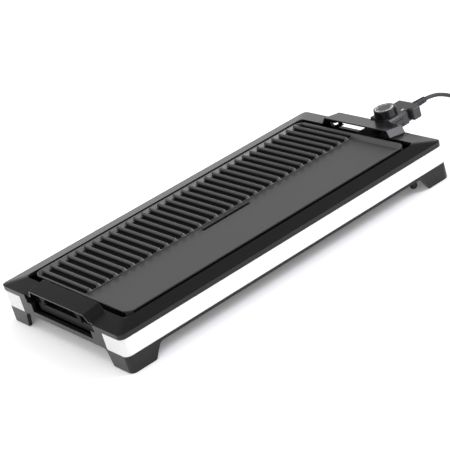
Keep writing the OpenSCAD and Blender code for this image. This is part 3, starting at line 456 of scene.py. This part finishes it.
def sweep_rim_corners(material):
    """Lays the rim's swept corners under the finish's own grain."""
    tree = material.node_tree
    sweep = add(tree, "ShaderNodeGroup", node_tree=RIM_CORNER)
    bump = next(node for node in tree.nodes if node.type == "BUMP")
    tree.links.new(sweep.outputs["Normal"], bump.inputs["Normal"])


# Tone and roughness of the painted shade on the casting
PAINTED_SHADE_TONE = (0.006, 0.006, 0.006, 1)
PAINTED_SHADE_ROUGHNESS = 0.85


def paint_casting_shade(material):
    """Paints shade into a finish where the casting's mask says: black, dull and with its reflection
    taken away; numbers are Mix sockets.
    """
    tree = material.node_tree
    shader = tree.nodes["Principled BSDF"]
    mask = add(tree, "ShaderNodeGroup", node_tree=PAINTED_SHADE_MASK).outputs["Mask"]
    for name, kind, value, first, second, made in (
            ("Base Color", "RGBA", PAINTED_SHADE_TONE, 6, 7, 2),
            ("Roughness", "FLOAT", PAINTED_SHADE_ROUGHNESS, 2, 3, 0)):
        blend = add(tree, "ShaderNodeMix", data_type=kind)
        source = shader.inputs[name].links[0].from_socket
        tree.links.new(mask, blend.inputs[0])
        tree.links.new(source, blend.inputs[first])
        blend.inputs[second].default_value = value
        tree.links.new(blend.outputs[made], shader.inputs[name])
    # Metallic with the black tone takes the reflection away as well: painted shade
    tree.links.new(mask, shader.inputs["Metallic"])


sweep_rim_corners(FINISHES["frame_black"])
# The cooking plate's finish, which the rib toes share, gets the painted shade
paint_casting_shade(FINISHES["plate_coat"])
PRINT_WHITE = finish("print_white", (0.62, 0.62, 0.63), 0.4, depth=0.0, tone_spread=0.03)
PRINT_RED = finish("print_red", (0.33, 0.07, 0.06), 0.4, depth=0.0, tone_spread=0.03)


def dress(piece, slot_name):
    piece.data.materials.clear()
    piece.data.materials.append(FINISHES[slot_name])


def dress_nodes():
    for entry in frame["record"]["subparts"]:
        dress(frame["nodes"][entry["node"]], entry["material_slot"])


dress_nodes()
dress(CORD, "cord_rubber")


# Softened edges of the carried-over solids: node, width of the round in mm

EDGE_ROUNDS = {
    "rim_frame": 0.8, "lower_frame": 1.0, "front_trim_band": 0.4, "rear_trim_band": 0.4,
    "cooking_plate": 0.8, "tray_end_handle": 0.5, "socket_end_handle": 0.5, "drip_tray": 0.2,
    "probe_lower_shell": 0.5, "probe_upper_shell": 0.5,
}


WELD_GAP = 0.000005
FLAT_WITHIN = math.radians(1.0)
EDGE_FROM = math.radians(32)
EDGE_STEPS = 2


def soften(node, width):
    """Welds a carried-over mesh, drops the lines inside flat faces and rounds its edges."""
    piece = frame["nodes"][node]
    weld = piece.modifiers.new("weld", "WELD")
    weld.merge_threshold = WELD_GAP
    flat = piece.modifiers.new("flat", "DECIMATE")
    flat.decimate_type = "DISSOLVE"
    flat.angle_limit = FLAT_WITHIN
    edge = piece.modifiers.new("edge", "BEVEL")
    edge.width = width * MM
    edge.segments = EDGE_STEPS
    edge.limit_method = "ANGLE"
    edge.angle_limit = EDGE_FROM
    edge.harden_normals = True


for node_name, round_mm in EDGE_ROUNDS.items():
    soften(node_name, round_mm)


# Toes of the ribs: each rib runs down to the step in a short rounded slope, sizes in mm

RIB_COUNT = 33
RIB_PITCH = 15.36
RIB_TOP = 65.8
RIB_CROWN = 2.4
RIB_HALF = 4.2
RIB_FLOOR = 60.6
TOE_ROOT = -4.3
TOE_TIP = -7.0
TOE_STEPS = 6
TOE_SIDES = 12
TOE_SINK = 0.15
TOE_TIP_HEIGHT = 0.02
TOE_FALL = 1.7
TOE_NARROWING = 0.12
CROWN_FULLNESS = 0.7


def toe_outline(height):
    """Half section of a rib cut down to a height above the floor, as x and z."""
    points = []
    for k in range(TOE_SIDES + 1):
        a = math.pi * k / TOE_SIDES
        x = -math.cos(a)
        wide = RIB_HALF + (RIB_CROWN - RIB_HALF) * math.sin(a)
        points.append((x * wide, RIB_FLOOR + height * math.sin(a) ** CROWN_FULLNESS))
    return points


def make_rib_toes():
    """All the toes as one piece that rides on the cooking plate."""
    mesh = bmesh.new()
    for i in range(RIB_COUNT):
        middle = GRILL_X + (i - (RIB_COUNT - 1) / 2) * RIB_PITCH * MM
        rings = []
        for j in range(TOE_STEPS + 1):
            t = j / TOE_STEPS
            fall = 1 - t ** TOE_FALL
            height = (RIB_TOP - RIB_FLOOR - TOE_SINK) * fall + TOE_TIP_HEIGHT
            y = TOE_ROOT + (TOE_TIP - TOE_ROOT) * t
            rings.append([
                mesh.verts.new((middle + x * MM * (1 - TOE_NARROWING * t), y * MM, z * MM))
                for x, z in toe_outline(height)])
        for one, two in zip(rings, rings[1:]):
            for k in range(TOE_SIDES):
                mesh.faces.new((one[k], two[k], two[k + 1], one[k + 1]))
    toes = link_mesh("rib_toes", mesh)
    toes.data.materials.append(FINISHES["plate_coat"])
    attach(toes, "plate")


make_rib_toes()


# Dial print: a rising scale in two arcs, five numbers, a thin inner ring and a red mark

DIAL_TOP = 0.0850
PRINT_THICK = 0.00008
SCALE_STEPS = 24
NUMBER_SIZE = 0.0042
NUMBER_RADIUS = 13.0
NUMBER_ANGLES = (210, 222, 65, 50, 35)


def make_arc(name, start, end, inner, outer, finish_made):
    """A printed band on the dial; inner and outer give its radii in mm from start to end."""
    mesh = bmesh.new()
    rows = []
    for i in range(SCALE_STEPS + 1):
        t = i / SCALE_STEPS
        a = math.radians(start + (end - start) * t)
        pair = []
        for low, high in (inner, outer):
            r = (low + (high - low) * t) * MM
            pair.append([
                mesh.verts.new((KNOB_AXIS[0] + r * math.cos(a), KNOB_AXIS[1] + r * math.sin(a), z))
                for z in (DIAL_TOP, DIAL_TOP + PRINT_THICK)])
        rows.append((pair[0][0], pair[1][0], pair[1][1], pair[0][1]))
    for one, two in zip(rows, rows[1:]):
        for k in range(4):
            n = (k + 1) % 4
            mesh.faces.new((one[k], two[k], two[n], one[n]))
    mesh.faces.new(rows[0])
    mesh.faces.new(list(reversed(rows[-1])))
    piece = link_mesh(name, mesh)
    for face in piece.data.polygons:
        face.use_smooth = False
    piece.data.materials.append(finish_made)
    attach(piece, "knob")


def make_number(text, angle):
    """One printed number, its foot towards the middle of the knob."""
    data = bpy.data.curves.new("number_" + text, "FONT")
    data.body = text
    data.size = NUMBER_SIZE
    data.align_x = "CENTER"
    data.align_y = "CENTER"
    data.extrude = PRINT_THICK / 2
    data.materials.append(PRINT_WHITE)
    number = bpy.data.objects.new("number_" + text, data)
    a = math.radians(angle)
    number.location = (
        KNOB_AXIS[0] + NUMBER_RADIUS * MM * math.cos(a),
        KNOB_AXIS[1] + NUMBER_RADIUS * MM * math.sin(a),
        DIAL_TOP + PRINT_THICK / 2)
    number.rotation_euler.z = a - math.pi / 2
    bpy.context.collection.objects.link(number)
    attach(number, "knob")


def make_dial_print():
    make_arc("inner_ring", 25, 335, (10.6, 10.6), (11.1, 11.1), PRINT_WHITE)
    make_arc("scale_low", 200, 95, (13.6, 12.9), (14.6, 14.6), PRINT_WHITE)
    make_arc("scale_high", 335, 235, (11.9, 12.6), (14.2, 14.2), PRINT_WHITE)
    make_arc("red_mark", -10, 10, (11.7, 11.7), (14.6, 14.6), PRINT_RED)
    for i, angle in enumerate(NUMBER_ANGLES):
        make_number(str(i + 1), angle)


make_dial_print()


# Studio: white floor, plain sky and soft lamps

FLOOR_HALF = 12
FLOOR_DROP = 0.0002
FLOOR_DULL = (0.86, 0.86, 0.86, 1)
FLOOR_SEEN = (1, 1, 1, 1)
FLOOR_LIFT = 0.14
SKY_LEVEL = 0.74
MIRROR_LOW = 1.0
MIRROR_HIGH = 0.14
MIRROR_EDGE = (0.33, 0.49)


def make_floor():
    """A floor that is white to the eye and to gloss, duller as a source of light."""
    mesh = bmesh.new()
    bmesh.ops.create_grid(mesh, x_segments=1, y_segments=1, size=FLOOR_HALF)
    floor = link_mesh("floor", mesh)
    floor.location.z = -FLOOR_DROP
    material = bpy.data.materials.new("floor_white")
    material.use_nodes = True
    tree = material.node_tree
    shader = tree.nodes["Principled BSDF"]
    white = add(tree, "ShaderNodeMix", data_type="RGBA")
    white.inputs[6].default_value = FLOOR_DULL
    white.inputs[7].default_value = FLOOR_SEEN
    tree.links.new(white.outputs[2], shader.inputs["Base Color"])
    shader.inputs["Roughness"].default_value = 0.9
    shader.inputs["Specular IOR Level"].default_value = 0.0
    path = add(tree, "ShaderNodeLightPath")
    seen = add(tree, "ShaderNodeMath", operation="MAXIMUM")
    tree.links.new(path.outputs["Is Camera Ray"], seen.inputs[0])
    tree.links.new(path.outputs["Is Glossy Ray"], seen.inputs[1])
    tree.links.new(seen.outputs[0], white.inputs[0])
    lift = add(tree, "ShaderNodeMath", operation="MULTIPLY")
    lift.inputs[1].default_value = FLOOR_LIFT
    tree.links.new(seen.outputs[0], lift.inputs[0])
    shader.inputs["Emission Color"].default_value = (1, 1, 1, 1)
    tree.links.new(lift.outputs[0], shader.inputs["Emission Strength"])
    floor.data.materials.append(material)


def make_sky():
    """Even light for dull surfaces; gloss sees a white wall up to a dim ceiling."""
    world = bpy.data.worlds.new("sky")
    bpy.context.scene.world = world
    world.use_nodes = True
    tree = world.node_tree
    ground = tree.nodes["Background"]
    path = add(tree, "ShaderNodeLightPath")
    seen = math_node(tree, "MAXIMUM", path.outputs["Is Camera Ray"],
                     path.outputs["Is Transmission Ray"])
    place = add(tree, "ShaderNodeTexCoord")
    way = add(tree, "ShaderNodeSeparateXYZ")
    tree.links.new(place.outputs["Generated"], way.inputs[0])
    wall = add(tree, "ShaderNodeMapRange", interpolation_type="SMOOTHSTEP")
    wall.inputs["From Min"].default_value = MIRROR_EDGE[0]
    wall.inputs["From Max"].default_value = MIRROR_EDGE[1]
    wall.inputs["To Min"].default_value = MIRROR_LOW
    wall.inputs["To Max"].default_value = MIRROR_HIGH
    tree.links.new(way.outputs["Z"], wall.inputs["Value"])
    dull = add(tree, "ShaderNodeMix")
    dull.inputs["A"].default_value = SKY_LEVEL
    tree.links.new(path.outputs["Is Glossy Ray"], dull.inputs["Factor"])
    tree.links.new(wall.outputs["Result"], dull.inputs["B"])
    level = add(tree, "ShaderNodeMix")
    level.inputs["B"].default_value = 1.0
    tree.links.new(seen, level.inputs["Factor"])
    tree.links.new(dull.outputs["Result"], level.inputs["A"])
    ground.inputs["Color"].default_value = (1, 1, 1, 1)
    tree.links.new(level.outputs["Result"], ground.inputs["Strength"])


# Each lamp: name, place, size in metres, power in watts, colour, looking at the grill's middle

LAMPS = [
    ("top", (-0.6, 1.4, 2.6), 1.4, 20.0, (1, 1, 1)),
    ("cool", (1.99, -1.55, 1.8), 1.5, 58.0, (0.92, 0.9, 1.0)),
    ("fill", (-2.3, -1.6, 1.6), 1.6, 12.0, (1, 0.99, 0.97)),
]


def make_lamps():
    for name, place, size, power, colour in LAMPS:
        data = bpy.data.lights.new(name, "AREA")
        data.shape = "SQUARE"
        data.size = size
        data.energy = power
        data.color = colour
        lamp = bpy.data.objects.new(name, data)
        lamp.location = place
        lamp.rotation_mode = "QUATERNION"
        lamp.rotation_quaternion = (-Vector(place)).to_track_quat("-Z", "Y")
        bpy.context.collection.objects.link(lamp)


make_floor()
make_sky()
make_lamps()
bpy.context.scene.view_settings.view_transform = "Standard"
